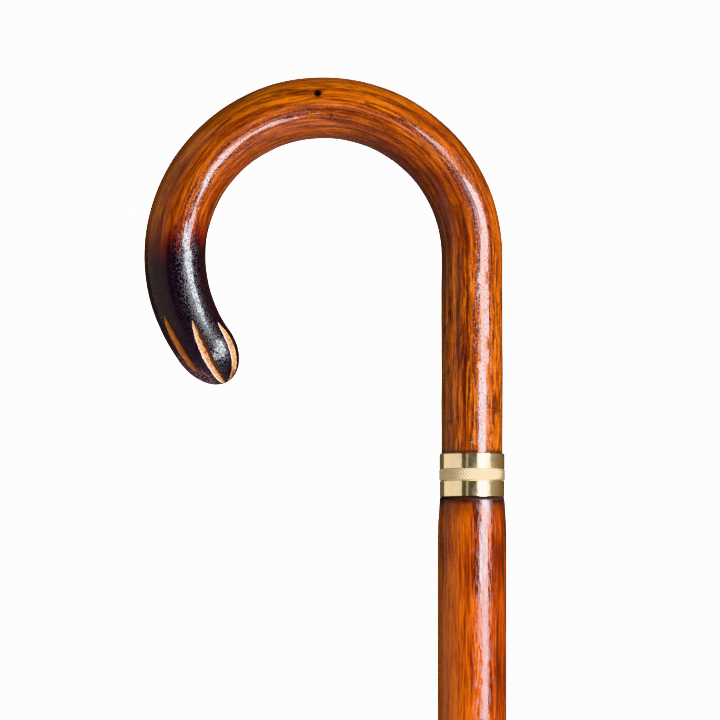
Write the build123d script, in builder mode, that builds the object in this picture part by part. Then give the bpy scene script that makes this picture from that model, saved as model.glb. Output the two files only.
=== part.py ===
from build123d import *
import os
from math import cos, radians, sin

# A crook-handled walking cane in two halves. The bent handle and the shaft meet in a
# turned brass collar, where a steel stud in the handle screws into a brass socket in
# the shaft. Millimetres, +Z up the shaft. The origin is the middle of the rubber
# tip's ground face. The crook lies in the XZ plane and opens towards -X.

os.makedirs("parts", exist_ok=True)

# --- driving dimensions ---

overall_height = 920.0
handle_radius = 10.8
bend_radius = 52.0  # of the crook's centreline
bend_turn = 190.0  # degrees of even bend, then the nose opens out a little
nose_bend_radius = 54.5
nose_turn = 26.0
nose_radius = 10.55
nose_end_length = 14.9  # of the rounded end, longer than it is wide

leg_length = 69.2  # straight wood from the bend down to the collar
collar_height = 15.5
upper_band_height = 5.4
knurl_height = 4.1
upper_collar_radius = 11.5
knurl_radius = 11.6
lower_collar_radius = 11.35
edge_break = 0.35  # small chamfer on turned brass

shaft_radius = 12.1
shaft_neck_radius = 11.4  # where the shaft meets the collar
shoulder_length = 15.0  # over which the neck swells to the full shaft
taper_top = 640.0  # the shaft is parallel above this height and tapers below it
foot_radius = 9.0
foot_top = 46.0  # the shaft's foot is parallel inside the rubber tip

thread_radius = 5.0  # M10
thread_pitch = 1.5
thread_turns = 28 / 3  # turns from tight to free

tip_base_radius = 17.5
tip_height = 43.0

glue_gap = 0.05  # radial, between a glued or pressed piece and its bore
thread_gap = 0.06  # radial, between the two threads
stud_hole_gap = 0.1  # radial, round the stud where it passes through the brass

# --- heights that follow from them ---

bend_height = overall_height - bend_radius - handle_radius
collar_top = bend_height - leg_length
collar_bottom = collar_top - collar_height
knurl_top = collar_top - upper_band_height
joint_height = knurl_top - knurl_height  # the plane where the two halves part


def disc(radius, bottom, height, mode=Mode.ADD):
    """A round disc, or with Mode.SUBTRACT a round hole, on the shaft's axis."""
    with Locations((0, 0, bottom)):
        Cylinder(radius, height, align=(Align.CENTER, Align.CENTER, Align.MIN), mode=mode)


def write(piece, name):
    """Label a finished piece and write it as one STEP file."""
    piece.part.label = name
    export_step(piece.part, f"parts/{name}.step")


# --- brass collar, upper half: a cup over the handle's tenon ---

spigot_radius = 10.1
upper_tenon_radius = 9.2
upper_web = 2.5  # brass left between the tenon and the joint
upper_tenon_bottom = joint_height + upper_web
recess_radius = 8.8  # the thrust washer sits in this recess
recess_depth = 0.85
stud_hole_radius = thread_radius + stud_hole_gap

with BuildPart() as upper_collar:
    disc(spigot_radius, joint_height, knurl_height)
    disc(upper_collar_radius, knurl_top, upper_band_height)
    chamfer(upper_collar.edges().sort_by(Axis.Z)[-1], edge_break)
    disc(stud_hole_radius, joint_height, collar_height, Mode.SUBTRACT)
    disc(recess_radius, joint_height, recess_depth, Mode.SUBTRACT)
    tenon_bore_radius = upper_tenon_radius + glue_gap
    disc(tenon_bore_radius, upper_tenon_bottom, collar_height, Mode.SUBTRACT)
write(upper_collar, "upper_collar")

# --- knurled grip ring, pressed on the upper half's spigot ---

with BuildPart() as knurled_ring:
    disc(knurl_radius, joint_height, knurl_height)
    chamfer(knurled_ring.edges().filter_by(GeomType.CIRCLE), edge_break)
    disc(spigot_radius, joint_height, knurl_height, Mode.SUBTRACT)
write(knurled_ring, "knurled_ring")

# --- brass collar, lower half: a cap over the shaft's tenon ---

lower_tenon_radius = 9.45
socket_flange_radius = 7.95
socket_flange_height = 1.5
lower_tenon_top = joint_height - socket_flange_height

with BuildPart() as lower_collar:
    disc(lower_collar_radius, collar_bottom, joint_height - collar_bottom)
    chamfer(lower_collar.edges().filter_by(GeomType.CIRCLE), edge_break)
    disc(lower_tenon_radius + glue_gap, collar_bottom, lower_tenon_top - collar_bottom, Mode.SUBTRACT)
    disc(socket_flange_radius + glue_gap, collar_bottom, collar_height, Mode.SUBTRACT)
write(lower_collar, "lower_collar")

# --- steel stud: shank glued in the handle, flange, relief neck and screw end ---

shank_radius = 5.0
shank_length = 30.0
flange_radius = 7.0
flange_height = 2.0
flange_top = upper_tenon_bottom + flange_height
shank_top = flange_top + shank_length
neck_radius = 4.2
neck_depth = 2.0  # of plain neck below the joint
thread_top = joint_height - neck_depth
thread_bottom = thread_top - thread_pitch * thread_turns
lead = 1.0  # chamfer that starts the thread
groove_pitch = 4.0  # of the rings that hold the glue
groove_width = 1.2
groove_depth = 0.5
shank_groove_count = 4
pin_radius = 0.6
pin_rise = 3.6  # of the pin above the collar
pin_height = collar_top + pin_rise

with BuildPart() as handle_stud:
    with BuildSketch(Plane.XZ):
        with BuildLine():
            Polyline(
                (0, thread_bottom),
                (thread_radius - lead, thread_bottom),
                (thread_radius, thread_bottom + lead),
                (thread_radius, thread_top - lead),
                (neck_radius, thread_top),
                (neck_radius, upper_tenon_bottom),
                (flange_radius, upper_tenon_bottom),
                (flange_radius, flange_top),
                (shank_radius, flange_top),
                (shank_radius, shank_top - lead),
                (shank_radius - lead, shank_top),
                (0, shank_top),
                close=True,
            )
        make_face()
    revolve(axis=Axis.Z)
    for groove in range(shank_groove_count):
        with BuildSketch(Plane.XY.offset(shank_top - groove_pitch * (groove + 1))):
            Circle(shank_radius)
            Circle(shank_radius - groove_depth, mode=Mode.SUBTRACT)
        extrude(amount=groove_width, mode=Mode.SUBTRACT)
    with BuildSketch(Plane.XZ):
        with Locations((0, pin_height)):
            Circle(pin_radius)
    extrude(amount=handle_radius, both=True, mode=Mode.SUBTRACT)
write(handle_stud, "handle_stud")

# --- cross pin through the handle and the stud ---

with BuildPart() as stud_pin:
    with BuildSketch(Plane.XZ):
        with Locations((0, pin_height)):
            Circle(pin_radius)
    extrude(amount=handle_radius - glue_gap, both=True)
write(stud_pin, "stud_pin")

# --- bent wooden handle: leg, crook, opened nose with carved flutes, tenon ---

flute_count = 7
flute_phase = 48.0  # degrees from the outer side of the bend to the first flute
flute_length = 34.0
flute_radius = 2.4  # of the gouge
flute_depth = 1.5
flute_place = 0.95  # of the way along the nose
flute_tilt = 10.0  # the flutes run together at the tip
bore_end_gap = 1.0

with BuildPart() as crook_handle:
    with BuildLine(Plane.XZ):
        leg = Line((0, collar_top), (0, bend_height))
        bend = JernArc(leg @ 1, leg % 1, bend_radius, bend_turn)
    with BuildSketch(Plane.XY.offset(collar_top)):
        Circle(handle_radius)
    sweep()

    with BuildLine(Plane.XZ):
        nose = JernArc(bend @ 1, bend % 1, nose_bend_radius, nose_turn)
    with BuildSketch(Plane(nose @ 0, z_dir=nose % 0)):
        Circle(handle_radius)
    with BuildSketch(Plane(nose @ 1, z_dir=nose % 1)):
        Circle(nose_radius)
    sweep(multisection=True)
    nose_axis = Axis(nose @ 1, nose % 1)
    with BuildSketch(Plane(nose @ 1, x_dir=nose % 1, z_dir=(0, -1, 0))):
        with BuildLine():
            tip_curve = EllipticalCenterArc((0, 0), nose_end_length, nose_radius, arc_size=90)
            Polyline(tip_curve @ 1, (0, 0), tip_curve @ 0)
        make_face()
    revolve(axis=nose_axis)

    along = nose % flute_place
    sideways = Vector(0, -1, 0)
    outward = along.cross(sideways)  # away from the middle of the crook
    for flute in range(flute_count):
        spoke = radians(flute_phase + 360 / flute_count * flute)
        radial = outward * cos(spoke) + sideways * sin(spoke)
        tilt = radians(flute_tilt)
        gouge_along = along * cos(tilt) - radial * sin(tilt)
        gouge_middle = nose @ flute_place + radial * (handle_radius + flute_radius - flute_depth)
        gouge_plane = Plane(gouge_middle, x_dir=gouge_along, z_dir=gouge_along.cross(radial))
        with BuildSketch(gouge_plane):
            with BuildLine():
                ThreePointArc((-flute_length / 2, 0), (0, flute_radius), (flute_length / 2, 0))
                Line((-flute_length / 2, 0), (flute_length / 2, 0))
            make_face()
        revolve(axis=Axis(gouge_middle, gouge_along), mode=Mode.SUBTRACT)

    disc(upper_tenon_radius, upper_tenon_bottom, collar_top - upper_tenon_bottom)
    disc(flange_radius + glue_gap, upper_tenon_bottom, flange_height, Mode.SUBTRACT)
    stud_bore_length = shank_top + bore_end_gap - upper_tenon_bottom
    disc(shank_radius + glue_gap, upper_tenon_bottom, stud_bore_length, Mode.SUBTRACT)
    with BuildSketch(Plane.XZ):
        with Locations((0, pin_height)):
            Circle(pin_radius)
    extrude(amount=2 * handle_radius, both=True, mode=Mode.SUBTRACT)
write(crook_handle, "crook_handle")

# --- thrust washer, captive on the stud's neck in the upper collar's recess ---

washer_radius = 8.5
washer_hole_radius = 4.5
washer_thickness = 0.8

with BuildPart() as thrust_washer:
    disc(washer_radius, joint_height, washer_thickness)
    disc(washer_hole_radius, joint_height, washer_thickness, Mode.SUBTRACT)
write(thrust_washer, "thrust_washer")

# --- brass socket glued in the shaft, threaded for the stud ---

socket_body_radius = 7.0
socket_length = 22.5
socket_bottom = joint_height - socket_length
socket_mouth_gap = 0.4
socket_mouth_radius = thread_radius + socket_mouth_gap
socket_groove_count = 4
thread_run_out = 2.0

with BuildPart() as socket_insert:
    disc(socket_body_radius, socket_bottom, socket_length)
    disc(socket_flange_radius, lower_tenon_top, socket_flange_height)
    bore_bottom = thread_bottom - thread_run_out
    disc(thread_radius + thread_gap, bore_bottom, joint_height - bore_bottom, Mode.SUBTRACT)
    disc(socket_mouth_radius, thread_top, joint_height - thread_top, Mode.SUBTRACT)
    for groove in range(socket_groove_count):
        with BuildSketch(Plane.XY.offset(socket_bottom + groove_pitch * (groove + 0.5))):
            Circle(socket_body_radius)
            Circle(socket_body_radius - groove_depth, mode=Mode.SUBTRACT)
        extrude(amount=groove_width, mode=Mode.SUBTRACT)
write(socket_insert, "socket_insert")

# --- wooden shaft: tenon, swelled shoulder, parallel stretch, long taper, foot ---

tip_floor = 8.0
tip_washer_thickness = 1.2
shaft_bottom = tip_floor + tip_washer_thickness
shoulder_bottom = collar_bottom - shoulder_length
foot_chamfer = 0.8

with BuildPart() as shaft:
    with BuildSketch(Plane.XZ):
        with BuildLine():
            tenon = Polyline(
                (shaft_neck_radius, collar_bottom),
                (lower_tenon_radius, collar_bottom),
                (lower_tenon_radius, lower_tenon_top),
                (0, lower_tenon_top),
            )
            side = Polyline(
                tenon @ 1,
                (0, shaft_bottom),
                (foot_radius, shaft_bottom),
                (foot_radius, foot_top),
                (shaft_radius, taper_top),
                (shaft_radius, shoulder_bottom),
            )
            TangentArc(side @ 1, tenon @ 0, tangent=(0, 1))
        make_face()
    revolve(axis=Axis.Z)
    socket_bore_depth = lower_tenon_top - socket_bottom + bore_end_gap
    disc(socket_body_radius + glue_gap, socket_bottom - bore_end_gap, socket_bore_depth, Mode.SUBTRACT)
    chamfer(shaft.edges().group_by(Axis.Z)[0], foot_chamfer)
write(shaft, "shaft")

# --- steel washer that keeps the shaft's foot from punching through the rubber ---

tip_washer_radius = 8.6
tip_washer_edge = 0.2

with BuildPart() as tip_washer:
    disc(tip_washer_radius, tip_floor, tip_washer_thickness)
    chamfer(tip_washer.edges(), tip_washer_edge)
write(tip_washer, "tip_washer")

# --- rubber tip: flared foot, ringed neck, ground face with ring treads ---

tip_neck_radius = 13.2
tip_lip_radius = 13.8
tip_lip_height = 5.0
tip_flare_bottom = 8.0
tip_flare_top = 20.0
foot_draft = 0.5  # the foot leans in this much towards the ground
foot_edge_round = 1.0
tread_depth = 1.6
tread_width = 2.0
tread_radii = (5.0, 8.8, 12.6)  # inner radius of each ring in the ground face
neck_ring_pitch = 4.2
neck_ring_count = 3
neck_ring_depth = 0.7
neck_ring_width = 1.4

with BuildPart() as rubber_tip:
    with BuildSketch(Plane.XZ):
        with BuildLine():
            foot = Polyline(
                (foot_radius + glue_gap, tip_height),
                (foot_radius + glue_gap, tip_floor),
                (0, tip_floor),
                (0, 0),
                (tip_base_radius - foot_draft, 0),
                (tip_base_radius, tip_flare_bottom),
            )
            flare = TangentArc(
                (tip_neck_radius, tip_flare_top), (tip_base_radius, tip_flare_bottom), tangent=(0, -1)
            )
            Polyline(
                flare @ 0,
                (tip_neck_radius, tip_height - tip_lip_height),
                (tip_lip_radius, tip_height - tip_lip_height),
                (tip_lip_radius, tip_height),
                foot @ 0,
            )
        make_face()
    revolve(axis=Axis.Z)
    foot_rims = rubber_tip.edges().filter_by(Plane.XY).sort_by(SortBy.RADIUS)[-2:]
    fillet(foot_rims, foot_edge_round)
    for radius in tread_radii:
        with BuildSketch(Plane.XY):
            Circle(radius + tread_width)
            Circle(radius, mode=Mode.SUBTRACT)
        extrude(amount=tread_depth, mode=Mode.SUBTRACT)
    for ring in range(neck_ring_count):
        with BuildSketch(Plane.XY.offset(tip_flare_top + neck_ring_pitch * (ring + 0.5))):
            Circle(tip_neck_radius)
            Circle(tip_neck_radius - neck_ring_depth, mode=Mode.SUBTRACT)
        extrude(amount=neck_ring_width, mode=Mode.SUBTRACT)
write(rubber_tip, "rubber_tip")
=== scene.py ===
"""The looks of a crook-handled wooden cane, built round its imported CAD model.

The bent handle, the knurled ring, the screw, its socket and the cross pin are remade as
finer meshes. The other CAD nodes keep their shape and get their materials here. Shapes
and patterns are worked out in millimetres in the model's own frame, and made in metres.
"""

import math

import bmesh
import bpy
import numpy as np
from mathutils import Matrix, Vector


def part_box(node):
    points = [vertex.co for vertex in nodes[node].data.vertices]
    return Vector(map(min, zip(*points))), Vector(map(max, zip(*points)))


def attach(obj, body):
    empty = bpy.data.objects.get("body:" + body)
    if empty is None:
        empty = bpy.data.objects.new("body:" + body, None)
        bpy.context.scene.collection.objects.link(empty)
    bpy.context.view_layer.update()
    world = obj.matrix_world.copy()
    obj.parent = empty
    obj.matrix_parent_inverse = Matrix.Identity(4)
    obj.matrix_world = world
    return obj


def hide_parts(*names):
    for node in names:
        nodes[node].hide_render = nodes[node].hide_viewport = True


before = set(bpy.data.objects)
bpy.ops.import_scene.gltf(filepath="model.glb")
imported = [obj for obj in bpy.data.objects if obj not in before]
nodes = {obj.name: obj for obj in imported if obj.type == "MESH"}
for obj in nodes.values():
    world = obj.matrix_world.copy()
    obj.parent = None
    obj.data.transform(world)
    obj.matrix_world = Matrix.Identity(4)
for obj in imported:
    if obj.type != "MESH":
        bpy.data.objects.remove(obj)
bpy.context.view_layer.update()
scene = bpy.context.scene
MM = 0.001


def box_mm(node):
    """Lowest and highest corner of a CAD node, in millimetres."""
    low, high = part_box(node)
    return low / MM, high / MM


# --- sizes that the frame shows, in millimetres ---

handle_low, handle_high = box_mm("crook_handle")
handle_radius = handle_high.y
bend_radius = (-handle_low.x - handle_radius) / 2
bend_height = handle_high.z - bend_radius - handle_radius
tenon_bottom = handle_low.z
collar_top = box_mm("upper_collar")[1].z
collar_bottom = box_mm("lower_collar")[0].z
leg_length = bend_height - collar_top

# --- sizes of the CAD model that the frame doesn't show ---

bend_turn = math.radians(190)
nose_bend_radius = 54.5
nose_turn = math.radians(26)
nose_radius = 10.55
nose_end_length = 14.9
tenon_radius = 9.2
spigot_radius = 10.1
shank_radius = 5.0
flange_radius = 7.0
flange_height = 2.0
neck_radius = 4.2
bore_end_gap = 1.0
glue_gap = 0.05
thread_radius = 5.0
thread_pitch = 1.5
thread_length = 14.0
socket_radius = 7.0
socket_flange_radius = 7.95
socket_flange_height = 1.5
groove_pitch = 4.0  # of the rings that hold the glue, on the shank and on the socket
groove_width = 1.2
groove_depth = 0.5
groove_count = 4

# Lengths up the handle's line, from the collar.
bend_end = leg_length + bend_radius * bend_turn
nose_end = bend_end + nose_bend_radius * nose_turn
tip_end = nose_end + nose_end_length


# --- meshes ---


def link_mesh(name, vertices, faces, sharp_angle=60):
    """A smooth-shaded object from millimetre vertices, its faces turned outwards."""
    mesh = bpy.data.meshes.new(name)
    mesh.from_pydata((np.asarray(vertices) * MM).tolist(), [], faces)
    shape = bmesh.new()
    shape.from_mesh(mesh)
    bmesh.ops.recalc_face_normals(shape, faces=shape.faces)
    shape.to_mesh(mesh)
    shape.free()
    mesh.shade_smooth()
    mesh.set_sharp_from_angle(angle=math.radians(sharp_angle))
    piece = bpy.data.objects.new(name, mesh)
    scene.collection.objects.link(piece)
    return piece


def ring_faces(rows, columns, closed=False):
    """Quads between neighbouring rings of a grid, whose columns close on themselves."""
    faces = []
    for row in range(rows if closed else rows - 1):
        here, there = row * columns, (row + 1) % rows * columns
        for column in range(columns):
            beside = (column + 1) % columns
            faces.append((here + column, here + beside, there + beside, there + column))
    return faces


def cap_faces(ring_start, columns, centre):
    """Triangles from one ring to the vertex at its centre."""
    return [
        (ring_start + column, ring_start + (column + 1) % columns, centre)
        for column in range(columns)
    ]


def capped_faces(rows, columns):
    """Faces of a grid closed at both ends, whose two centres follow the last ring."""
    first_centre = rows * columns
    last_ring = (rows - 1) * columns
    faces = ring_faces(rows, columns)
    faces += cap_faces(0, columns, first_centre)
    faces += cap_faces(last_ring, columns, first_centre + 1)
    return faces


def turned(name, heights, radii, capped):
    """A turned piece: one ring per height, with a radius for each of its columns.

    A capped piece is closed at both ends on the axis, any other closes end to start.
    """
    rows, columns = radii.shape
    angle = np.arange(columns) * 2 * math.pi / columns
    x = radii * np.cos(angle)
    y = radii * np.sin(angle)
    z = np.broadcast_to(np.asarray(heights)[:, None], radii.shape)
    vertices = np.stack([x, y, z], axis=-1).reshape(-1, 3)
    if not capped:
        return link_mesh(name, vertices, ring_faces(rows, columns, closed=True))
    ends = [(0, 0, heights[0]), (0, 0, heights[-1])]
    return link_mesh(name, np.concatenate([vertices, ends]), capped_faces(rows, columns))


def set_values(piece, key, values):
    """Give each vertex its own number or its own three numbers, for a material to read."""
    values = np.asarray(values, np.float32)
    if values.ndim > 1:
        layer = piece.data.attributes.new(key, "FLOAT_VECTOR", "POINT")
        layer.data.foreach_set("vector", values.ravel())
    else:
        layer = piece.data.attributes.new(key, "FLOAT", "POINT")
        layer.data.foreach_set("value", values.ravel())


def saw(value):
    """1 at whole numbers, falling evenly to 0 half way between them."""
    return 2 * np.abs(value - np.floor(value) - 0.5)


def unit(vectors):
    """The same vectors at length 1."""
    return vectors / np.linalg.norm(vectors, axis=-1, keepdims=True)


# --- the bent handle ---

around = 216
front = np.array([0.0, -1.0, 0.0])
flute_back = 5.0  # the flutes' angles are given this far past the end of the bend's tube
carved_length = 26.0  # before that ring, in which every flute starts
gouge_radius = 1.15
gouge_depth = 1.25
pole_tilt = math.radians(9.4)  # the flutes run together this far outward of the tip
line_steps = 60  # points on each half of a flute's line

# Each flute: angle from the front towards the outer side where it starts, and at the
# reference ring, degrees; length before that ring; gap left at the tip, millimetres.
FLUTES = (
    (91, 92, 23.0, 4.0),
    (45, 50, 20.7, 12.5),
    (-5, 10, 15.4, 1.0),
    (-54, -51, 10.5, 0.9),
    (-114, -142, 10.5, 2.0),
    (-166, -182, 15.0, 3.0),
    (-218, -223, 20.0, 5.0),
)

# The waves that hand sanding leaves: wavelength and height, millimetres.
SANDING_WAVES = ((70, 0.06), (38, 0.05), (21, 0.028), (12, 0.014), (7, 0.006))


def path_frame(length):
    """Centre, direction and outward direction of the handle's line, at lengths up it."""
    length = np.asarray(length, float)
    turn = np.clip((length - leg_length) / bend_radius, 0, bend_turn)
    extra = np.clip((length - bend_end) / nose_bend_radius, 0, nose_turn)
    both = turn + extra
    x = -bend_radius * (1 - np.cos(turn)) + nose_bend_radius * (np.cos(both) - np.cos(turn))
    z = collar_top + np.minimum(length, leg_length) + bend_radius * np.sin(turn)
    z = z + nose_bend_radius * (np.sin(both) - np.sin(turn))
    zero = np.zeros_like(x)
    centre = np.stack([x, zero, z], axis=-1)
    along = np.stack([-np.sin(both), zero, np.cos(both)], axis=-1)
    outward = np.stack([np.cos(both), zero, np.sin(both)], axis=-1)
    return centre, along, outward


def handle_point(length, angle):
    """Points of the plain handle's surface, their outward normals and grain places.

    Lengths past the tube run on over the rounded end, whose pole is at its full length.
    """
    centre, along, outward = path_frame(np.minimum(length, nose_end))
    past = np.clip((length - nose_end) / nose_end_length, 0, 1)
    narrowing = np.clip((length - bend_end) / (nose_end - bend_end), 0, 1)
    tube = handle_radius + (nose_radius - handle_radius) * narrowing
    radius = tube * np.sqrt(1 - past**2)
    radial = outward * np.sin(angle)[..., None] + front * np.cos(angle)[..., None]
    point = centre + along * (past * nose_end_length)[..., None] + radial * radius[..., None]
    lean = (past / nose_end_length)[..., None]
    normal = unit(radial * (np.sqrt(1 - past**2) / tube)[..., None] + along * lean)
    grain = np.stack([radius * np.sin(angle), -radius * np.cos(angle), length], axis=-1)
    return point, normal, grain


def flute_line(start_angle, ring_angle, before, gap):
    """Points down the middle of one flute, on the plain handle's surface."""
    ring = nose_end + flute_back
    steps = np.linspace(0, 1, line_steps)
    angle = np.radians(start_angle + (ring_angle - start_angle) * steps**1.3)
    tube_part, _, _ = handle_point(ring - before + before * steps, angle)

    # Past the ring the line is an even swing towards the pole, seen from the middle.
    centre, along, outward = path_frame(nose_end)
    middle = centre + along * flute_back
    first = unit(tube_part[-1] - middle)
    pole = along * math.cos(pole_tilt) + outward * math.sin(pole_tilt)
    swing = math.acos(float(first @ pole))
    end_share = 1 - gap / (swing * nose_radius)
    share = np.linspace(0, end_share, line_steps)[1:, None]
    ways = (np.sin((1 - share) * swing) * first + np.sin(share * swing) * pole) / math.sin(swing)

    # How far each way goes before it meets the end's ellipsoid.
    stretch = np.array([nose_end_length, nose_radius, nose_radius])
    axes = np.stack([along, outward, front])
    origin = np.array([flute_back, 0.0, 0.0]) / stretch
    heading = (ways @ axes.T) / stretch
    a = (heading**2).sum(1)
    b = heading @ origin
    c = origin @ origin - 1
    reach = (-b + np.sqrt(b**2 - a * c)) / a
    return np.concatenate([tube_part, middle + ways * reach[:, None]])


def carve(points, normals):
    """How deep the flutes cut at each point, and its place across the cut, -1 to 1."""
    depth = np.zeros(len(points))
    side = np.zeros(len(points))
    for number, flute in enumerate(FLUTES):
        line = flute_line(*flute)
        run = np.concatenate([[0], np.cumsum(np.linalg.norm(np.diff(line, axis=0), axis=1))])
        share = run / run[-1]
        rise = np.sin(np.clip(share / 0.5, 0, 1) * math.pi / 2) ** 1.3
        fall = np.clip((1 - share) / 0.2, 0, 1) ** 0.7
        flute_depth = gouge_depth * (1 - 0.5 * share**2) * rise * fall
        flute_depth *= 1 + 0.06 * np.sin(run * 1.7 + number)
        gaps = np.linalg.norm(points[:, None] - line[None], axis=2)
        nearest = gaps.argmin(1)
        gap = gaps[np.arange(len(points)), nearest]
        middle_depth = flute_depth[nearest]
        cut = middle_depth - gap**2 / (2 * gouge_radius)
        deeper = cut > depth
        depth[deeper] = cut[deeper]
        half_width = np.sqrt(2 * gouge_radius * np.maximum(middle_depth, 1e-6))
        ahead = np.gradient(line, axis=0)[nearest]
        to_outer = unit(np.cross(ahead, normals))
        across = ((points - line[nearest]) * to_outer).sum(1) / half_width
        side[deeper] = np.clip(across, -1, 1)[deeper]
    return depth, side


def unevenness(length, angle):
    """The slight waves that hand sanding leaves, in millimetres."""
    draw = np.random.default_rng(5)
    waves = np.zeros(np.broadcast(length, angle).shape)
    for wavelength, height in SANDING_WAVES:
        for turns in (1, 2, 3, 5):
            phase = draw.uniform(0, 2 * math.pi, 2)
            pitch = wavelength * draw.uniform(0.85, 1.15)
            wave = np.sin(2 * math.pi * length / pitch + phase[0])
            waves = waves + height / 2 * wave * np.cos(turns * angle + phase[1])
    return waves * np.clip(length / 12, 0, 1)


def bore_rings(bore_end, angle):
    """Rings from the stud bore's end down to the tenon's foot, and up to the leg."""
    flange_top = tenon_bottom + flange_height
    outline = (
        (shank_radius + glue_gap, bore_end),
        (shank_radius + glue_gap, flange_top),
        (flange_radius + glue_gap, flange_top),
        (flange_radius + glue_gap, tenon_bottom),
        (tenon_radius, tenon_bottom),
        (tenon_radius, collar_top),
    )
    rings = []
    for radius, height in outline:
        ring = [radius * np.sin(angle), -radius * np.cos(angle), np.full(around, height)]
        rings.append(np.stack(ring, axis=-1))
    return np.array(rings)


def make_handle():
    """Leg, bend and carved nose, with the tenon and the stud's bore below the leg."""
    fine_from = nose_end + flute_back - carved_length
    quarter = np.linspace(0, math.pi / 2, 65, endpoint=False)
    leg_rows = np.linspace(0, leg_length, 55, endpoint=False)
    bend_rows = np.linspace(leg_length, fine_from, 137, endpoint=False)
    nose_rows = np.linspace(fine_from, nose_end, 87, endpoint=False)
    end_rows = nose_end + nose_end_length * np.sin(quarter)
    lengths = np.concatenate([leg_rows, bend_rows, nose_rows, end_rows])
    angle = np.arange(around) * 2 * math.pi / around
    length_grid, angle_grid = np.meshgrid(lengths, angle, indexing="ij")
    points, normals, grain = handle_point(length_grid, angle_grid)
    points = points + normals * unevenness(length_grid, angle_grid)[..., None]

    fine = lengths >= fine_from
    cut = np.zeros(length_grid.shape)
    side = np.zeros(length_grid.shape)
    carved, across = carve(points[fine].reshape(-1, 3), normals[fine].reshape(-1, 3))
    cut[fine] = carved.reshape(-1, around)
    side[fine] = across.reshape(-1, around)
    points = points - normals * cut[..., None]

    grain_start = np.array([0, 0, collar_top])
    bore_end = np.array([0, 0, box_mm("handle_stud")[1].z + bore_end_gap])
    inner = bore_rings(bore_end[2], angle)
    tip, _, tip_grain = handle_point(np.array([tip_end]), np.array([0.0]))
    rings = np.concatenate([inner, points])
    vertices = np.concatenate([rings.reshape(-1, 3), [bore_end, tip[0]]])
    piece = link_mesh("crook_wood", vertices, capped_faces(len(rings), around))

    inner_grain = (inner - grain_start).reshape(-1, 3)
    end_grain = [bore_end - grain_start, tip_grain[0]]
    set_values(piece, "grain", np.concatenate([inner_grain, grain.reshape(-1, 3), end_grain]))
    no_cut = np.zeros(len(inner) * around)
    set_values(piece, "cut", np.concatenate([no_cut, cut.ravel(), [0, 0]]))
    set_values(piece, "side", np.concatenate([no_cut, side.ravel(), [0, 0]]))
    return piece


# --- the knurled ring ---


def make_knurl():
    """The ring with its diamond knurl, chamfered at both rims and bored for the spigot."""
    low, high = box_mm("knurled_ring")
    crest = high.y
    rim = 0.35
    diamonds = 60
    groove = 0.24
    flank = 0.6  # share of each diamond that slopes
    columns = 8 * diamonds
    angle = np.arange(columns) / columns
    heights = np.linspace(low.z + rim, high.z - rim, 37)
    pitch = 2 * math.pi * crest / diamonds
    climb = (heights / pitch)[:, None]
    turns = (angle * diamonds)[None]
    peaks = np.minimum(saw(turns + climb), saw(turns - climb))
    cut = 1 - np.minimum(peaks / flank, 1)
    bore_ring = np.full((1, columns), spigot_radius)
    rim_ring = np.full((1, columns), crest - rim)
    radii = np.concatenate([bore_ring, rim_ring, crest - groove * cut, rim_ring, bore_ring])
    heights = [low.z, low.z, *heights, high.z, high.z]
    piece = turned("knurl_brass", heights, radii, capped=False)
    grime = np.zeros(radii.shape)
    grime[2:-2] = cut
    set_values(piece, "grime", grime.ravel())
    return piece


# --- the screw, its socket and the cross pin ---

thread_columns = 72
thread_rows_a_turn = 12
thread_fade = 1.0  # length over which a crest fades out
stud_root = 4.1
socket_root = 5.06
socket_crest = 4.25
edge_break = 0.15


def thread(bottom, top, root, crest, start):
    """Heights and radii of a right-handed thread whose crests fade out at both ends."""
    rows = round((top - bottom) / thread_pitch * thread_rows_a_turn) + 1
    heights = np.linspace(bottom, top, rows)
    turn = np.arange(thread_columns) / thread_columns
    ridge = saw((heights[:, None] - start) / thread_pitch - turn)
    ridge = np.clip((ridge - 0.1) / 0.8, 0, 1)
    fade = np.clip(np.minimum(heights - bottom, top - heights) / thread_fade, 0, 1)[:, None]
    return heights, root + (crest - root) * ridge * fade


def even_rings(outline, columns=thread_columns):
    """One even ring for each radius and height of an outline."""
    return [np.full((1, columns), float(radius)) for radius, _ in outline]


def heights_of(outline):
    """The heights of an outline's radii and heights."""
    return [height for _, height in outline]


def glue_groove(radius, bottom):
    """Outline of one groove round a piece, from its lower edge to its upper."""
    floor = radius - groove_depth
    slope = 0.1
    top = bottom + groove_width
    return [(radius, bottom), (floor, bottom + slope), (floor, top - slope), (radius, top)]


def make_stud():
    """Threaded end, neck, flange and the ringed shank that is glued into the handle."""
    low, high = box_mm("handle_stud")
    thread_top = low.z + thread_length
    flange_top = tenon_bottom + flange_height
    plain_end = 0.8
    tip_chamfer = 1.0
    heights, radii = thread(
        low.z + plain_end, thread_top - plain_end, stud_root, thread_radius, low.z
    )
    start = [(stud_root - 0.5, low.z)]
    after = [
        (stud_root, thread_top - 0.5),
        (neck_radius, tenon_bottom),
        (flange_radius - edge_break, tenon_bottom),
        (flange_radius, tenon_bottom + edge_break),
        (flange_radius, flange_top - edge_break),
        (flange_radius - edge_break, flange_top),
        (shank_radius, flange_top),
    ]
    for groove in range(groove_count, 0, -1):
        after += glue_groove(shank_radius, high.z - groove_pitch * groove)
    after += [(shank_radius, high.z - tip_chamfer), (shank_radius - tip_chamfer, high.z)]
    rings = [*even_rings(start), radii, *even_rings(after)]
    levels = [*heights_of(start), *heights, *heights_of(after)]
    return turned("stud_steel", levels, np.concatenate(rings), capped=True)


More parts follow.
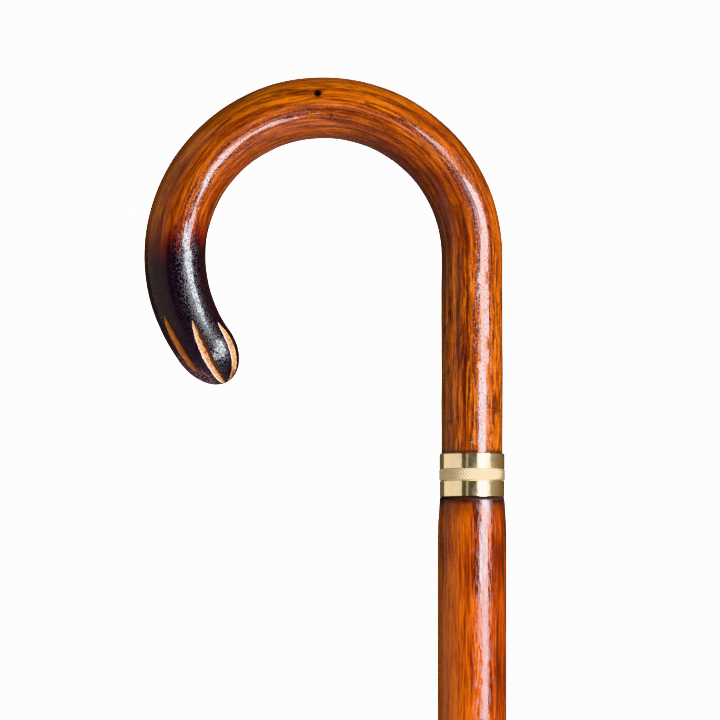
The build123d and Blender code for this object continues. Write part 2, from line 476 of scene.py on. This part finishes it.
def make_socket():
    """Flanged brass socket: ringed outside for glue, threaded inside."""
    low, high = box_mm("socket_insert")
    bore_bottom = low.z + 4.5
    thread_start = bore_bottom + 2.0
    mouth_depth = 2.0
    mouth_chamfer = 0.3
    mouth_radius = 5.4
    foot_chamfer = 0.2
    gap = 0.2  # between the mouth or the plain bore and the thread
    outside = [(socket_radius - foot_chamfer, low.z), (socket_radius, low.z + foot_chamfer)]
    for groove in range(groove_count):
        outside += glue_groove(socket_radius, low.z + groove_pitch * (groove + 0.5))
    outside += [
        (socket_radius, high.z - socket_flange_height),
        (socket_flange_radius, high.z - socket_flange_height),
        (socket_flange_radius, high.z),
        (mouth_radius + mouth_chamfer, high.z),
        (mouth_radius, high.z - mouth_chamfer),
        (mouth_radius, high.z - mouth_depth),
    ]
    heights, radii = thread(
        thread_start + gap, high.z - mouth_depth - gap, socket_root, socket_crest, low.z
    )
    inside = [(socket_root, thread_start), (socket_root, bore_bottom), (0.01, bore_bottom)]
    levels = [*heights_of(outside), *heights[::-1], *heights_of(inside)]
    rings = [*even_rings(outside), radii[::-1], *even_rings(inside)]
    return turned("socket_brass", levels, np.concatenate(rings), capped=True)


def make_pin():
    """The cross pin, its ends dressed flush with the varnish and centre-punched."""
    low, high = box_mm("stud_pin")
    radius = (high.x - low.x) / 2
    height = (high.z + low.z) / 2
    proud = handle_radius + 0.03
    edge = 0.1
    punch_radius = 0.34
    punch_floor_radius = 0.22
    punch_depth = 0.16
    half = [
        (punch_floor_radius, proud - punch_depth),
        (punch_radius, proud),
        (radius - edge, proud),
        (radius, proud - edge),
    ]
    outline = [(r, -y) for r, y in half] + [(r, y) for r, y in half[::-1]]
    rings = np.concatenate(even_rings(outline, columns=32))
    piece = turned("pin_steel", heights_of(outline), rings, capped=True)
    for vertex in piece.data.vertices:
        x, y, z = vertex.co
        vertex.co = (x, z, y + height * MM)
    piece.data.flip_normals()
    return piece


# --- shading ---


class Shading:
    """Short calls that build one node tree. Lengths in patterns are millimetres."""

    def __init__(self, tree):
        self.tree = tree

    def node(self, kind, **settings):
        """A new node with its settings."""
        made = self.tree.nodes.new(kind)
        for key, value in settings.items():
            setattr(made, key, value)
        return made

    def plug(self, socket, value):
        """Link another socket to this one, or give it a constant."""
        if isinstance(value, bpy.types.NodeSocket):
            self.tree.links.new(value, socket)
        elif hasattr(value, "__len__") and len(value) == 3 and socket.type == "RGBA":
            socket.default_value = (*value, 1)
        else:
            socket.default_value = value

    def attribute(self, key, output="Fac"):
        """Values that a mesh carries at its vertices."""
        return self.node("ShaderNodeAttribute", attribute_name=key).outputs[output]

    def maths(self, operation, *values):
        """One step of arithmetic."""
        made = self.node("ShaderNodeMath", operation=operation)
        for socket, value in zip(made.inputs, values):
            self.plug(socket, value)
        return made.outputs[0]

    def times(self, a, b):
        """a times b."""
        return self.maths("MULTIPLY", a, b)

    def shift(self, value, amount, factor):
        """value plus amount times factor."""
        return self.maths("MULTIPLY_ADD", amount, factor, value)

    def centred(self, noise):
        """A noise less its middle value."""
        return self.maths("SUBTRACT", noise, 0.5)

    def vector(self, operation, *values):
        """One step of arithmetic on vectors."""
        made = self.node("ShaderNodeVectorMath", operation=operation)
        for socket, value in zip(made.inputs, values):
            self.plug(socket, value)
        return made.outputs["Value" if operation == "LENGTH" else "Vector"]

    def split(self, place):
        """The x, y and z of a place."""
        made = self.node("ShaderNodeSeparateXYZ")
        self.plug(made.inputs[0], place)
        return made.outputs["X"], made.outputs["Y"], made.outputs["Z"]

    def noise(self, place, stretch, detail=2.0, roughness=0.5, output="Fac"):
        """Noise with its own frequency, waves to the millimetre, in each direction."""
        made = self.node("ShaderNodeTexNoise")
        self.plug(made.inputs["Vector"], self.vector("MULTIPLY", place, stretch))
        made.inputs["Scale"].default_value = 1
        made.inputs["Detail"].default_value = detail
        made.inputs["Roughness"].default_value = roughness
        return made.outputs[output]

    def between(self, value, low, high, start=0.0, end=1.0):
        """value from low to high, smoothly as start to end."""
        made = self.node("ShaderNodeMapRange", interpolation_type="SMOOTHSTEP")
        for key, given in zip(("Value", "From Min", "From Max", "To Min", "To Max"),
                              (value, low, high, start, end)):
            self.plug(made.inputs[key], given)
        return made.outputs["Result"]

    def ramp(self, value, *stops):
        """A colour that runs through stops of position and colour."""
        made = self.node("ShaderNodeValToRGB")
        band = made.color_ramp
        while len(band.elements) < len(stops):
            band.elements.new(0.5)
        for element, (position, colour) in zip(band.elements, stops):
            element.position = position
            element.color = (*colour, 1)
        self.plug(made.inputs["Fac"], value)
        return made.outputs["Color"]

    def mix(self, amount, a, b, blend="MIX"):
        """Colour a where the amount is 0, and b where it is 1."""
        made = self.node("ShaderNodeMix", data_type="RGBA", blend_type=blend)
        self.plug(made.inputs["Factor"], amount)
        self.plug(made.inputs[6], a)
        self.plug(made.inputs[7], b)
        return made.outputs[2]

    def tint(self, colour, other, mask, share):
        """The colour with a share of another laid over it, where the mask is 1."""
        return self.mix(self.times(mask, share), colour, other)

    def bump(self, height):
        """Normals of a relief; height is in millimetres."""
        made = self.node("ShaderNodeBump")
        made.inputs["Distance"].default_value = MM
        made.inputs["Strength"].default_value = 1.0
        self.plug(made.inputs["Height"], height)
        return made.outputs["Normal"]


def new_material(name, **constants):
    """A material, its Shading helper and its shader, with constant sockets set."""
    material = bpy.data.materials.new(name)
    material.use_nodes = True
    shader = material.node_tree.nodes["Principled BSDF"]
    for key, value in constants.items():
        shader.inputs[key.replace("_", " ")].default_value = value
    return material, Shading(material.node_tree), shader


def object_mm(s):
    """The place on a piece, in millimetres of the model's frame."""
    place = s.node("ShaderNodeTexCoord").outputs["Object"]
    return s.vector("MULTIPLY", place, (1 / MM,) * 3)


# --- wood ---

dark_wood = (0.060, 0.009, 0.003)
red_wood = (0.125, 0.018, 0.002)
warm_wood = (0.230, 0.040, 0.002)
gold_wood = (0.37, 0.090, 0.003)
pore_brown = (0.032, 0.006, 0.003)
painted_inner_sheen = (0.085, 0.026, 0.017)
knot_black = (0.006, 0.003, 0.003)
ember = (0.085, 0.008, 0.003)
char = (0.0060, 0.0024, 0.0044)
char_sheen = (0.016, 0.0082, 0.0115)
pink_speck = (0.22, 0.10, 0.11)
painted_flute_shade = (0.24, 0.052, 0.007)
painted_edge_highlight = (0.78, 0.58, 0.47)
shaded_wall = (0.040, 0.005, 0.003)
shaft_stain = (0.97, 0.74, 0.7)
painted_collar_shade = (0.055, 0.008, 0.003)
collar_shadow = (0.012, 0.003, 0.003)


def spot(s, grain, place, size):
    """1 at a place in the grain, fading to 0 at an ellipsoid of the given half sizes."""
    offset = s.vector("SUBTRACT", grain, place)
    scaled = s.vector("MULTIPLY", offset, tuple(1 / length for length in size))
    return s.between(s.vector("LENGTH", scaled), 1.0, 0.5)


def wood_grain(s, grain, heart, ring_width, contrast=1.0, crowding=0.0):
    """Tone from 0, dark, to 1, pale, and how strongly a place is a pore.

    The year rings lie round a heart beside the stick, and everything runs along it.
    """
    slow = s.noise(grain, (0.06, 0.06, 0.014), detail=2, output="Color")
    sway = s.vector("MULTIPLY", s.vector("SUBTRACT", slow, (0.5, 0.5, 0.5)), (5.0, 5.0, 0))
    lines = s.vector("ADD", grain, sway)
    flat = s.vector("MULTIPLY", s.vector("SUBTRACT", lines, (*heart, 0)), (1, 1, 0))
    year = s.maths("FRACT", s.maths("DIVIDE", s.vector("LENGTH", flat), ring_width))
    ring_line = s.times(s.between(year, 0.5, 0.92), s.between(year, 1.0, 0.94))

    broad = s.noise(lines, (0.20, 0.20, 0.016), detail=2)
    streak = s.noise(lines, (1.25, 1.25, 0.070), detail=3, roughness=0.7)
    hairs = s.between(s.noise(lines, (1.5, 1.5, 0.022), detail=1), 0.53, 0.62)
    change = s.shift(s.times(s.centred(streak), 1.5), s.centred(broad), 0.5)
    tone = s.shift(0.54, change, contrast)
    tone = s.shift(tone, ring_line, -0.12)
    tone = s.shift(tone, hairs, -0.17)

    crowd = s.noise(lines, (0.30, 0.30, 0.03), detail=2)
    crowd = s.maths("ADD", s.shift(crowd, ring_line, 0.14), crowding)
    vessel = s.noise(lines, (1.6, 1.6, 0.13), detail=2, roughness=0.55)
    fibre = s.noise(lines, (2.3, 2.3, 0.36), detail=2)
    vessels = s.between(s.shift(vessel, crowd, 0.28), 0.715, 0.76)
    flecks = s.between(s.shift(fibre, crowd, 0.2), 0.68, 0.74)
    pores = s.maths("MAXIMUM", vessels, s.times(flecks, 0.7))
    return tone, s.times(pores, s.shift(0.4, contrast, 0.6))


def wood_colour(s, tone, pores):
    """The stained wood's colour for a tone, darker in its pores."""
    colour = s.ramp(
        tone,
        (0.18, dark_wood),
        (0.36, red_wood),
        (0.53, warm_wood),
        (0.74, gold_wood),
    )
    return s.tint(colour, pore_brown, pores, 0.8)


def varnish(s, shader, pores, ripple, dull, matt):
    """Gloss over slight ripples, broken up by open pores and small dull specks."""
    height = s.shift(s.shift(ripple, pores, -0.004), dull, -0.010)
    s.plug(shader.inputs["Normal"], s.bump(height))
    roughness = s.maths("MAXIMUM", s.times(dull, 0.44), matt)
    s.plug(shader.inputs["Roughness"], s.maths("MAXIMUM", roughness, 0.04))


def on_handle(outward, length):
    """A place in the grain on the front of the handle."""
    return (outward, -math.sqrt(handle_radius**2 - outward**2), length)


# Paler and darker places on the handle's front: distance outward, length up the handle,
# half sizes, and the change of tone.
TONE_SPOTS = (
    (-2.0, 86, (9, 9, 22), -0.11),
    (7.0, 154, (9, 9, 40), 0.08),
    (8.4, 7.5, (2.4, 2.4, 8.5), 0.22),
    (8.0, 17.0, (1.7, 2.2, 4.6), -0.32),
)

# Small dark flecks on the front: distance outward, length up the handle, half length.
FLECKS = (
    (0.8, 223.0, 1.6),
    (6.6, 77.5, 1.2),
    (2.8, 123.0, 2.2),
    (3.4, 119.0, 1.6),
    (-3.2, 148.0, 1.4),
)

knot_length = leg_length + bend_radius * math.radians(92)


def handle_tone(s, grain):
    """The handle wood's tone and pores, and how far it is the bend's inner side, which gets
    painted shade.
    """
    outward, _, length = s.split(grain)
    seam = spot(s, grain, on_handle(-2.4, 36), (2.6, 3.5, 34))
    contrast = s.between(length, leg_length - 15, leg_length + 30, 1.02, 0.66)
    tone, pores = wood_grain(s, grain, (-17, 12), 2.1, contrast, s.times(seam, 0.22))
    slow = s.noise(grain, (0.12, 0.12, 0.03), detail=4, roughness=0.65)
    ragged_outward = s.maths("ADD", outward, s.shift(-7, slow, 14))
    inner = s.between(ragged_outward, -3, -8)
    inner = s.times(inner, s.between(length, 150, 105))
    inner = s.times(inner, s.between(length, 35, 80, -0.35, 1.0))
    # Painted shade: the bend's inner side is darker, and the upper bend's outer side paler.
    tone = s.shift(tone, inner, -0.15)
    tone = s.shift(tone, outward, s.between(length, 90, 150, 0.001, 0.010))
    for place, up, size, change in TONE_SPOTS:
        tone = s.shift(tone, spot(s, grain, on_handle(place, up), size), change)
    return tone, pores, inner


def scorch(s, grain, colour):
    """The colour with the scorched nose laid over it, and how far a place is charred."""
    outward, _, length = s.split(grain)
    ragged = s.noise(grain, (0.35, 0.35, 0.03), detail=4, roughness=0.65)
    burnt = s.shift(s.shift(length, s.centred(ragged), 24), outward, -0.35)
    colour = s.mix(s.between(burnt, bend_end - 25, bend_end - 13), colour, ember)
    charred = s.between(burnt, bend_end - 19, bend_end - 7)
    # Painted sheen of the left light: the char is paler and mauve on its outer side.
    char_and_sheen = s.mix(s.between(outward, 1.5, 6.5), char, char_sheen)
    return s.mix(charred, colour, char_and_sheen), charred


def add_flecks(s, grain, colour):
    """The colour with the small flecks and the knot with its tail."""
    for place, length, half in FLECKS:
        fleck = spot(s, grain, on_handle(place, length), (0.7, 1.2, half))
        colour = s.tint(colour, pore_brown, fleck, 0.8)
    tail = spot(s, grain, on_handle(4.9, knot_length + 3), (1.1, 2.0, 7))
    colour = s.tint(colour, pore_brown, tail, 0.55)
    knot = spot(s, grain, on_handle(4.6, knot_length), (1.7, 2.4, 1.7))
    return s.mix(knot, colour, knot_black)


def flute_wood(s, grain, outer_side):
    """Bare wood in the flutes, with painted shade on the outer side and on inner walls, and a
    painted highlight along one edge.
    """
    outward, _, _ = s.split(grain)
    raw = s.noise(grain, (2.0, 2.0, 0.55), detail=3, roughness=0.65)
    colour = s.ramp(
        raw,
        (0.36, (0.045, 0.008, 0.003)),
        (0.42, (0.25, 0.070, 0.012)),
        (0.50, (0.42, 0.175, 0.040)),
        (0.60, (0.60, 0.34, 0.13)),
    )
    # Painted shade on the flutes of the outer side.
    colour = s.tint(colour, painted_flute_shade, outer_side, 0.75)
    facing = s.between(outward, -5.5, -2.5)
    across = s.shift(s.attribute("side"), raw, 0.5)
    # Painted highlight: a pale pink line along one edge of the flutes, as the key light would
    # give.
    edge = s.between(s.maths("SUBTRACT", across, s.shift(-0.3, facing, 0.9)), 0.25, 0.45)
    colour = s.tint(colour, painted_edge_highlight, s.times(edge, s.between(outer_side, 1, 0)), 0.85)
    inner_wall = s.times(s.between(across, 0.16, -0.06), facing)
    return s.tint(colour, shaded_wall, inner_wall, 0.9)


def handle_material():
    """Varnished hardwood, charred at the nose, with bare wood in the flutes."""
    material, s, shader = new_material("handle_wood", IOR=1.5)
    grain = s.attribute("grain", "Vector")
    outward, _, length = s.split(grain)
    tone, pores, inner = handle_tone(s, grain)
    # Painted sheen of the left light: a mauve tint on the bend's inner side.
    colour = s.tint(wood_colour(s, tone, pores), painted_inner_sheen, inner, 0.3)
    colour = s.tint(colour, pore_brown, s.between(length, 1.6, 0.4), 0.8)
    colour, charred = scorch(s, grain, colour)
    colour = add_flecks(s, grain, colour)

    # Pinkish specks along the nose's lower outer edge.
    edge_specks = spot(s, grain, (8.0, -3.5, nose_end + 7), (6.0, 6.0, 13))
    specks = s.noise(grain, (1.6, 1.6, 0.9), detail=3, roughness=0.65)
    edge_specks = s.times(edge_specks, s.between(specks, 0.48, 0.56))
    colour = s.tint(colour, pink_speck, edge_specks, 0.9)
    outer_side = s.between(outward, 2.5, 6.5)
    faded = s.times(s.between(length, nose_end, nose_end + 11), outer_side)
    fresh = s.times(s.between(s.attribute("cut"), 0.03, 0.12), s.between(faded, 1, 0))
    colour = s.mix(fresh, colour, flute_wood(s, grain, outer_side))
    s.plug(shader.inputs["Base Color"], colour)

    ripple = s.noise(grain, (0.8, 0.8, 0.4), detail=1)
    ripple = s.times(ripple, s.between(charred, 0, 1, 0.007, 0.011))
    dull = s.shift(s.noise(grain, (2.2, 2.2, 1.5), detail=1), charred, 0.045)
    dull = s.shift(dull, s.between(length, nose_end - 32, nose_end - 8), 0.035)
    varnish(s, shader, pores, ripple, s.between(dull, 0.545, 0.61), s.times(fresh, 0.75))
    return material


def shaft_material():
    """Varnished hardwood in broader streaks, with painted shade on its right side and below the
    collar.
    """
    material, s, shader = new_material("shaft_wood", IOR=1.5)
    place = object_mm(s)
    x, _, z = s.split(place)
    tone, pores = wood_grain(s, place, (9, 21), 3.4, 0.8)
    blotch = s.noise(place, (0.14, 0.14, 0.035), detail=3)
    tone = s.shift(tone, s.maths("SUBTRACT", blotch, 0.46), 0.9)
    # Painted shade: the tone darkens towards the shaft's right side.
    tone = s.shift(tone, x, -0.012)
    colour = wood_colour(s, tone, s.times(pores, 0.4))
    colour = s.mix(1.0, colour, shaft_stain, "MULTIPLY")
    # Painted shade below the collar: a broad darkening and a dark line right under it.
    under_collar = s.between(z, collar_bottom - 11, collar_bottom)
    colour = s.tint(colour, painted_collar_shade, under_collar, 0.75)
    at_collar = s.between(z, collar_bottom - 3.2, collar_bottom - 1.0)
    colour = s.tint(colour, collar_shadow, at_collar, 0.9)
    s.plug(shader.inputs["Base Color"], colour)
    ridges = s.times(s.noise(place, (0.75, 0.75, 0.03), detail=2), 0.024)
    dull = s.between(s.noise(place, (1.9, 1.9, 0.22), detail=1), 0.47, 0.55, 0.0, 0.7)
    lip = s.between(z, collar_bottom - 1.3, collar_bottom - 0.6)
    varnish(s, shader, pores, ridges, dull, lip)
    return material


# --- metal, leather and rubber ---

old_polish = (0.15, 0.09, 0.04)
scuff_grey = (0.085, 0.080, 0.073)


def brass_colour(s, tarnish):
    """Brass, warmer and darker where it is tarnished."""
    return s.ramp(tarnish, (0.3, (0.80, 0.64, 0.40)), (0.6, (0.90, 0.75, 0.50)))


def brass_material():
    """Turned and polished brass with fine marks round it."""
    material, s, shader = new_material("brass", Metallic=1.0)
    place = object_mm(s)
    marks = s.noise(place, (0.02, 0.02, 14.0), detail=3, roughness=0.7)
    tarnish = s.noise(place, (0.25, 0.25, 0.25), detail=4, roughness=0.6)
    s.plug(shader.inputs["Base Color"], brass_colour(s, tarnish))
    s.plug(shader.inputs["Roughness"], s.between(tarnish, 0.3, 0.7, 0.10, 0.17))
    s.plug(shader.inputs["Normal"], s.bump(s.times(marks, 0.0012)))
    return material


def knurl_material():
    """Brass worn bright on the diamonds' tops, with old polish in the grooves."""
    material, s, shader = new_material("knurl_brass", Metallic=1.0)
    place = object_mm(s)
    tarnish = s.noise(place, (0.35, 0.35, 0.35), detail=4, roughness=0.6)
    settled = s.between(s.shift(s.attribute("grime"), tarnish, 0.3), 0.6, 0.9)
    colour = s.tint(brass_colour(s, tarnish), old_polish, settled, 0.85)
    s.plug(shader.inputs["Base Color"], colour)
    s.plug(shader.inputs["Roughness"], s.shift(0.34, settled, 0.25))
    return material


def steel_material(name="steel", shade=1.0):
    """Turned steel with fine marks round it, as bright as its shade."""
    material, s, shader = new_material(name, Metallic=1.0)
    place = object_mm(s)
    marks = s.noise(place, (0.05, 0.05, 9.0), detail=3, roughness=0.7)
    stain = s.noise(place, (0.6, 0.6, 0.6), detail=3)
    colour = s.ramp(stain, (0.3, (0.36, 0.36, 0.37)), (0.65, (0.60, 0.60, 0.61)))
    colour = s.mix(1.0, colour, (shade, shade, shade), "MULTIPLY")
    s.plug(shader.inputs["Base Color"], colour)
    s.plug(shader.inputs["Roughness"], s.between(marks, 0.3, 0.7, 0.22, 0.38))
    s.plug(shader.inputs["Normal"], s.bump(s.times(marks, 0.003)))
    return material


def leather_material():
    """Pebbled brown leather."""
    material, s, shader = new_material("washer_leather", Roughness=0.7)
    pebble = s.noise(object_mm(s), (2.2, 2.2, 2.2), detail=3)
    colour = s.ramp(pebble, (0.3, (0.12, 0.055, 0.025)), (0.7, (0.30, 0.16, 0.08)))
    s.plug(shader.inputs["Base Color"], colour)
    s.plug(shader.inputs["Normal"], s.bump(s.times(pebble, 0.06)))
    return material


def rubber_material():
    """Black rubber, dusty, and scuffed grey near the ground."""
    material, s, shader = new_material("tip_rubber")
    place = object_mm(s)
    _, _, z = s.split(place)
    grit = s.noise(place, (1.6, 1.6, 1.6), detail=3, roughness=0.6)
    dust = s.noise(place, (0.10, 0.10, 0.16), detail=4, roughness=0.6)
    scuffed = s.times(s.between(z, 9, 1), s.between(dust, 0.4, 0.6))
    colour = s.ramp(dust, (0.3, (0.012, 0.012, 0.013)), (0.7, (0.030, 0.029, 0.028)))
    colour = s.tint(colour, scuff_grey, scuffed, 0.6)
    s.plug(shader.inputs["Base Color"], colour)
    s.plug(shader.inputs["Roughness"], s.between(dust, 0.3, 0.7, 0.5, 0.68))
    s.plug(shader.inputs["Normal"], s.bump(s.times(grit, 0.035)))
    return material


# --- pieces ---


def dress(piece, material):
    """Give a piece one material."""
    piece.data.materials.clear()
    piece.data.materials.append(material)


def add_piece(piece, body, node, material):
    """A remade piece rides on its body, stands for its CAD node and takes its finish."""
    dress(piece, material)
    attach(piece, body)
    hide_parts(node)


brass = brass_material()
steel = steel_material()
add_piece(make_handle(), "handle", "crook_handle", handle_material())
add_piece(make_knurl(), "handle", "knurled_ring", knurl_material())
add_piece(make_stud(), "handle", "handle_stud", steel)
add_piece(make_pin(), "handle", "stud_pin", steel_material("dull_steel", 0.3))
add_piece(make_socket(), "shaft", "socket_insert", brass)
for collar in ("upper_collar", "lower_collar"):
    dress(nodes[collar], brass)
dress(nodes["shaft"], shaft_material())
dress(nodes["tip_washer"], steel)
dress(nodes["thrust_washer"], leather_material())
dress(nodes["rubber_tip"], rubber_material())


# --- studio ---

look_at = Vector((-39.2, 0, 820.8)) * MM
crook_middle = Vector((-bend_radius, 0, bend_height)) * MM
camera_distance = 7.5
camera_elevation = -2.4  # degrees
view_width = 0.252
sensor_width = 36.0
backdrop_strength = 3.5
floor_half = 20000  # millimetres

key_tint = (1.0, 0.95, 0.92)
cool_white = (0.93, 0.98, 1.05)
fill_tint = (1.0, 0.97, 0.90)
line_tint = (1.0, 0.96, 0.88)

# Panels of one bank that curves round the crook and gives the varnish its bright line:
# name, azimuths, elevations, radiance. The veils are faint panels beside it.
BANK = (
    ("key_crown", (21, 39), (24, 32), 12),
    ("key_top", (41, 64), (16, 24), 26),
    ("key_upper", (43, 66), (8, 16), 26),
    ("key_shoulder", (28, 41), (8, 20), 4),
    ("key_core", (36, 65), (1, 8), 24),
    ("key_waist", (26, 54), (-4.1, 1), 26),
    ("key_lower", (38, 56), (-12, -4.1), 17),
    ("key_knee", (15, 40), (-19, -12), 26),
    ("key_foot", (10, 31), (-26, -19), 22),
    ("low_front", (6, 16), (-32, -26), 14),
    ("veil_upper", (11, 28), (5, 24), 0.6),
    ("veil_middle", (19, 28), (-3, 5), 0.6),
    ("veil_lower", (3, 15), (-17, -7), 2.2),
    ("top_line", (-6, 8), (6, 15), 2.0),
)


def direction(azimuth, elevation):
    """Unit vector; azimuth is from the camera's side towards the right, in degrees."""
    a, e = math.radians(azimuth), math.radians(elevation)
    return Vector((math.sin(a) * math.cos(e), -math.cos(a) * math.cos(e), math.sin(e)))


def make_camera():
    """A long lens from the front, a little below the middle of the view."""
    data = bpy.data.cameras.new("camera")
    data.sensor_width = sensor_width
    data.lens = sensor_width * camera_distance / view_width
    data.clip_end = 100
    camera = bpy.data.objects.new("camera", data)
    back = direction(0, camera_elevation)
    camera.location = look_at + back * camera_distance
    camera.rotation_euler = (-back).to_track_quat("-Z", "Y").to_euler()
    scene.collection.objects.link(camera)
    scene.camera = camera


def softbox(name, azimuths, elevations, radiance, tint=cool_white, distance=1.2):
    """A panel facing the crook that fills a range of directions, unseen by the camera."""
    middle = direction(sum(azimuths) / 2, sum(elevations) / 2)
    data = bpy.data.lights.new(name, "AREA")
    data.shape = "RECTANGLE"
    data.size = 2 * distance * math.tan(math.radians(azimuths[1] - azimuths[0]) / 2)
    data.size_y = 2 * distance * math.tan(math.radians(elevations[1] - elevations[0]) / 2)
    data.color = tint
    data.energy = math.pi * radiance * data.size * data.size_y
    light = bpy.data.objects.new(name, data)
    light.location = crook_middle + middle * distance
    light.rotation_euler = middle.to_track_quat("Z", "Y").to_euler()
    light.visible_camera = False
    scene.collection.objects.link(light)


def make_lights():
    """A broad weak key, the bank of bright panels over it, a fill and a thin line."""
    softbox("key", (23, 62), (-36, 34), 0.5, key_tint)
    for name, azimuths, elevations, radiance in BANK:
        softbox(name, azimuths, elevations, radiance)
    softbox("fill", (-118, -36), (-50, 50), 0.83, fill_tint, 2.0)
    softbox("thin_line", (-20, -12), (-38, 4), 0.42, line_tint, 2.0)


def make_surround():
    """Dim studio walls round the cane; the camera sees plain white behind it."""
    world = bpy.data.worlds.new("studio")
    scene.world = world
    world.use_nodes = True
    s = Shading(world.node_tree)
    world.node_tree.nodes.clear()
    x, y, z = s.split(s.node("ShaderNodeTexCoord").outputs["Generated"])
    turn = s.maths("ARCTAN2", x, s.times(y, -1))
    walls = s.ramp(
        s.shift(0.5, turn, 0.5 / math.pi),
        (0.00, (0.16, 0.14, 0.12)),
        (0.17, (0.20, 0.17, 0.13)),
        (0.44, (0.12, 0.12, 0.12)),
        (0.56, (0.12, 0.12, 0.12)),
        (0.70, (0.46, 0.43, 0.38)),
        (0.81, (0.36, 0.25, 0.17)),
        (0.92, (0.17, 0.14, 0.11)),
    )
    walls = s.mix(s.between(z, 0.5, 0.95), walls, (0.22, 0.22, 0.22))
    dim = s.node("ShaderNodeBackground")
    s.plug(dim.inputs["Color"], walls)
    white = s.node("ShaderNodeBackground")
    s.plug(white.inputs["Color"], (1.0, 1.0, 1.0))
    white.inputs["Strength"].default_value = backdrop_strength
    both = s.node("ShaderNodeMixShader")
    s.plug(both.inputs[0], s.node("ShaderNodeLightPath").outputs["Is Camera Ray"])
    s.plug(both.inputs[1], dim.outputs[0])
    s.plug(both.inputs[2], white.outputs[0])
    output = s.node("ShaderNodeOutputWorld")
    s.plug(output.inputs["Surface"], both.outputs[0])


def make_floor():
    """A wide pale floor under the tip."""
    low, high = -floor_half, floor_half
    corners = [(low, low, 0), (high, low, 0), (high, high, 0), (low, high, 0)]
    floor = link_mesh("floor", corners, [(0, 1, 2, 3)])
    material, s, shader = new_material("floor_pale", Roughness=0.7)
    cloud = s.noise(object_mm(s), (0.002, 0.002, 0.002), detail=2)
    colour = s.ramp(cloud, (0.3, (0.66, 0.66, 0.66)), (0.7, (0.70, 0.70, 0.69)))
    s.plug(shader.inputs["Base Color"], colour)
    dress(floor, material)


scene.view_settings.view_transform = "Khronos PBR Neutral"
make_camera()
make_surround()
make_floor()
make_lights()
